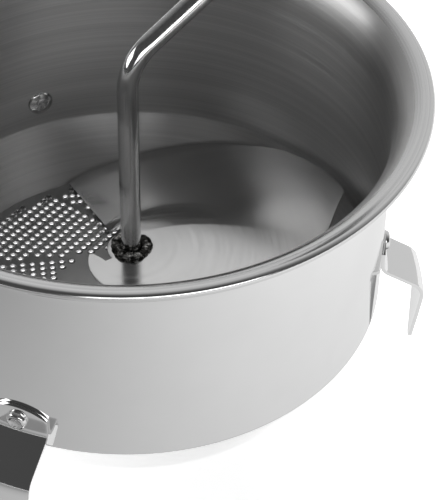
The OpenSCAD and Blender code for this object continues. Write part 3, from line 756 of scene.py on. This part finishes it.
def grip_surface():
    """A superellipse loft that ends in a flat round eye with a hole."""
    sections, sides = 64, 48
    verts, faces = [], []
    for i in range(sections + 1):
        x = mix(0, GRIP_L, 1 - (1 - i / sections) ** 1.15)
        w, h = between(WIDTHS, x), between(HEIGHTS, x)
        if x > EYE_X:
            w = math.sqrt(max(0.01, EYE_R**2 - (x - EYE_X) ** 2))
            h *= 1 - 0.35 * ((x - EYE_X) / EYE_R) ** 6
        power = mix(2.3, 3.2, smooth((x - 70) / 30))
        for k in range(sides):
            c, s = math.cos(TAU * k / sides), math.sin(TAU * k / sides)
            verts.append(Vector((x, w * squared(c, power), h * squared(s, power))))
    for i in range(sections):
        for k in range(sides):
            a, b = i * sides + k, i * sides + (k + 1) % sides
            faces.append((a, b, b + sides, a + sides))
    faces += [tuple(range(sides)), tuple(range(len(verts) - sides, len(verts)))]
    return placed(verts, along_handle), faces


grip = piece("handle_grip_moulding", *grip_surface(), plastic, "bowl", "handle_grip", "black_plastic", 40)
mouth = [(HOLE + 2.2, -9, 0), (HOLE + 1.0, -5.0, 1.0), (HOLE, -3.4, 1.2)]
cut_profile = rounded([*mouth, *((r, -z, ease) for r, z, ease in reversed(mouth))], 4)
cut_verts, cut_faces = lathe([(0, -9), *cut_profile, (0, 9)], 40, closed=False)
cutter_at = along_handle @ Matrix.Translation((EYE_X, 0, 0))
screw_at = along_handle @ Matrix.Translation((48, 0, -13.5))
screw_verts, screw_faces = lathe([(0, 0), (4.3, 0), (4.3, 8), (0, 8)], 40, closed=False)
cutter_data = bpy.data.meshes.new("cutter")
hole_cut = (placed(cut_verts, cutter_at), cut_faces)
screw_cut = (placed(screw_verts, screw_at), screw_faces)
all_verts, all_faces = joined(hole_cut, screw_cut)
cutter_data.from_pydata([Vector(v) * MM for v in all_verts], [], all_faces)
cleaner = bmesh.new()
cleaner.from_mesh(cutter_data)
bmesh.ops.remove_doubles(cleaner, verts=cleaner.verts, dist=1e-7)
bmesh.ops.recalc_face_normals(cleaner, faces=cleaner.faces)
cleaner.to_mesh(cutter_data)
cleaner.free()
cutter = bpy.data.objects.new("cutter", cutter_data)
bpy.context.scene.collection.objects.link(cutter)
holes = grip.modifiers.new("holes", "BOOLEAN")
holes.operation, holes.object, holes.solver = "DIFFERENCE", cutter, "EXACT"
bpy.context.view_layer.update()
graph = bpy.context.evaluated_depsgraph_get()
finished = bpy.data.meshes.new_from_object(grip.evaluated_get(graph))
grip.modifiers.clear()
grip.data = finished
grip.data.polygons.foreach_set("use_smooth", [True] * len(finished.polygons))
grip.data.set_sharp_from_angle(angle=math.radians(38))
bpy.data.objects.remove(cutter)

# ---- CAD nodes that stay, with eased edges -------------------------------------------------

KEPT = {
    "perforated_bottom": (bottom, 0), "bearing_bush": (plain_steel, 0.15), "knob_washer": (plain_steel, 0.15),
    "knob_cap": (rivet_steel, 0.2), "upper_washer": (plain_steel, 0.15), "lower_washer": (plain_steel, 0.15),
    "wing_nut": (plain_steel, 0.35), "handle_bracket": (strip_steel, 0.2), "grip_screw": (plain_steel, 0.2),
    "grip_bushing": (plain_steel, 0.25),
}
for node, (shader, ease) in KEPT.items():
    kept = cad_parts[node]
    kept.data.materials.clear()
    kept.data.materials.append(shader.material)
    if ease:
        weldup = kept.modifiers.new("weld", "WELD")
        weldup.merge_threshold = 1e-6
        bevel(kept, ease, 2, 30)

# ---- stage ---------------------------------------------------------------------------------

GROUND = -61.2


def flat_shader(name, colour, rough=0.9, glow=0.0):
    m = Shader(name, Roughness=rough)
    m.drive("Base Color", m.tint(m.noise(6), grey(colour * 0.985), grey(colour)))
    if glow:
        m.bsdf.inputs["Emission Color"].default_value = (1, 1, 1, 1)
        m.bsdf.inputs["Emission Strength"].default_value = glow
    return m


def stage_sheet(name, corners, shader, seen=True):
    data = bpy.data.meshes.new(name)
    data.from_pydata([Vector(v) * MM for v in corners], [], [tuple(range(len(corners)))])
    data.materials.append(shader.material)
    made = bpy.data.objects.new(name, data)
    bpy.context.scene.collection.objects.link(made)
    if not seen:
        made.visible_camera = made.visible_diffuse = made.visible_shadow = False
        made.visible_transmission = False
    return made


FLOOR_HALF = 4000
floor_shader = flat_shader("floor_pale", 0.9, 0.9, 0.75)
corner_signs = ((-1, -1), (1, -1), (1, 1), (-1, 1))
floor_corners = [(x * FLOOR_HALF, y * FLOOR_HALF, GROUND) for x, y in corner_signs]
stage_sheet("floor", floor_corners, floor_shader)

# Plain soft sheets that only glossy surfaces mirror, so that polished steel stands out from the pale
# floor: a reflector on the floor that glows more towards +X, with a grey ring inside it where the
# bowl's shadow would lie, and two upright panels
SHADE_IN, REFLECTOR_IN, REFLECTOR_OUT, REFLECTOR_STEPS = 80, 92, 1500, 48
GLOW_LEFT, GLOW_RIGHT, GLOW_HALF = 0.3, 1.0, 0.2
PANEL_AWAY, PANEL_LOW, PANEL_HIGH = 1200, 250, 720

contact_shade = flat_shader("contact_shade", 0.02, 0.9, 0.3)
reflector = Shader("reflector_soft", Roughness=0.9)
reflector.bsdf.inputs["Base Color"].default_value = (0.02, 0.02, 0.02, 1)
reflector.bsdf.inputs["Emission Color"].default_value = (1, 1, 1, 1)
axes = reflector.node("ShaderNodeSeparateXYZ")
reflector.link(reflector.coords, axes.inputs[0])
sideways_glow = reflector.spread(axes.outputs[0], GLOW_LEFT, GLOW_RIGHT, -GLOW_HALF, GLOW_HALF)
reflector.drive("Emission Strength", sideways_glow)

rings = (("floor_shade", SHADE_IN, REFLECTOR_IN, contact_shade),
         ("floor_reflector", REFLECTOR_IN, REFLECTOR_OUT, reflector))
for name, ring_in, ring_out, shader in rings:
    for start in (-180, 0):
        angles = [start + 180 * k / REFLECTOR_STEPS for k in range(REFLECTOR_STEPS + 1)]
        inside = [polar(ring_in, a, GROUND + 1) for a in angles]
        outside = [polar(ring_out, a, GROUND + 1) for a in reversed(angles)]
        stage_sheet(name, inside + outside, shader, False)

panel_glow = flat_shader("panel_soft", 0.02, 0.9, 3.0)
for name, turn, low, high in (("panel_front", 0, -300, 1100), ("panel_left", -90, -500, 500)):
    spin = Matrix.Rotation(math.radians(turn), 3, "Z")
    corners = ((low, PANEL_LOW), (high, PANEL_LOW), (high, PANEL_HIGH), (low, PANEL_HIGH))
    stage_sheet(name, [spin @ Vector((x, -PANEL_AWAY, z)) for x, z in corners], panel_glow, False)


def area(name, at, aim, size, power):
    light = bpy.data.lights.new(name, "AREA")
    light.shape, light.size, light.size_y, light.energy = "RECTANGLE", size[0], size[1], power
    made = bpy.data.objects.new(name, light)
    made.location = at
    made.rotation_mode = "QUATERNION"
    made.rotation_quaternion = (Vector(aim) - Vector(at)).to_track_quat("-Z", "Y")
    bpy.context.scene.collection.objects.link(made)
    made.visible_camera = made.visible_glossy = False
    return made


area("light_back", (-0.1, 1.3, 1.0), (0, 0, 0), (1.6, 1.0), 16)
area("light_left", (-1.2, 0.1, 0.9), (0, 0, 0), (0.7, 1.0), 9)
area("light_top", (0.1, 0.1, 1.7), (0, 0, 0), (0.9, 0.9), 6)

world = bpy.data.worlds.new("studio")
bpy.context.scene.world = world
world.use_nodes = True
tree = world.node_tree
background = tree.nodes["Background"]
direction = tree.nodes.new("ShaderNodeTexCoord")
facing = tree.nodes.new("ShaderNodeVectorMath")
facing.operation = "DOT_PRODUCT"
facing.inputs[1].default_value = Vector((0.35, 0.85, 0.3)).normalized()
tree.links.new(direction.outputs["Generated"], facing.inputs[0])
sky = tree.nodes.new("ShaderNodeValToRGB")
SKY_TONES = ((0.0, 0.07), (0.85, 0.7), (0.3, 0.2), (0.5, 0.34))
stops = sky.color_ramp.elements
for stop, (position, tone) in zip((stops[0], stops[1]), SKY_TONES[:2]):
    stop.position, stop.color = position, (tone, tone, tone, 1)
for position, tone in SKY_TONES[2:]:
    stops.new(position).color = (tone, tone, tone, 1)
tree.links.new(facing.outputs["Value"], sky.inputs[0])
tree.links.new(sky.outputs[0], background.inputs["Color"])
background.inputs["Strength"].default_value = 1.0

# ---- camera --------------------------------------------------------------------------------

CAMERA_AT, CAMERA_LENS = (0.0069, -0.466, 0.443), 129.9
pitch, yaw, roll = math.radians(43.3), math.radians(2.6), math.radians(1.0)
ahead = Vector((math.sin(yaw) * math.cos(pitch), math.cos(yaw) * math.cos(pitch), -math.sin(pitch)))
right = Vector((math.cos(yaw), -math.sin(yaw), 0))
up = right.cross(ahead)
right, up = right * math.cos(roll) + up * math.sin(roll), up * math.cos(roll) - right * math.sin(roll)
lens = bpy.data.cameras.new("camera")
lens.sensor_fit, lens.sensor_width, lens.sensor_height = "AUTO", 36, 36
lens.lens = CAMERA_LENS
lens.shift_x, lens.shift_y = 0.016, 0.0114
lens.clip_start, lens.clip_end = 0.01, 50
camera = bpy.data.objects.new("camera", lens)
bpy.context.scene.collection.objects.link(camera)
camera_turn = Matrix((right, up, -ahead)).transposed().to_4x4()
camera.matrix_world = Matrix.Translation(CAMERA_AT) @ camera_turn
bpy.context.scene.camera = camera
bpy.context.scene.view_settings.view_transform = "Standard"
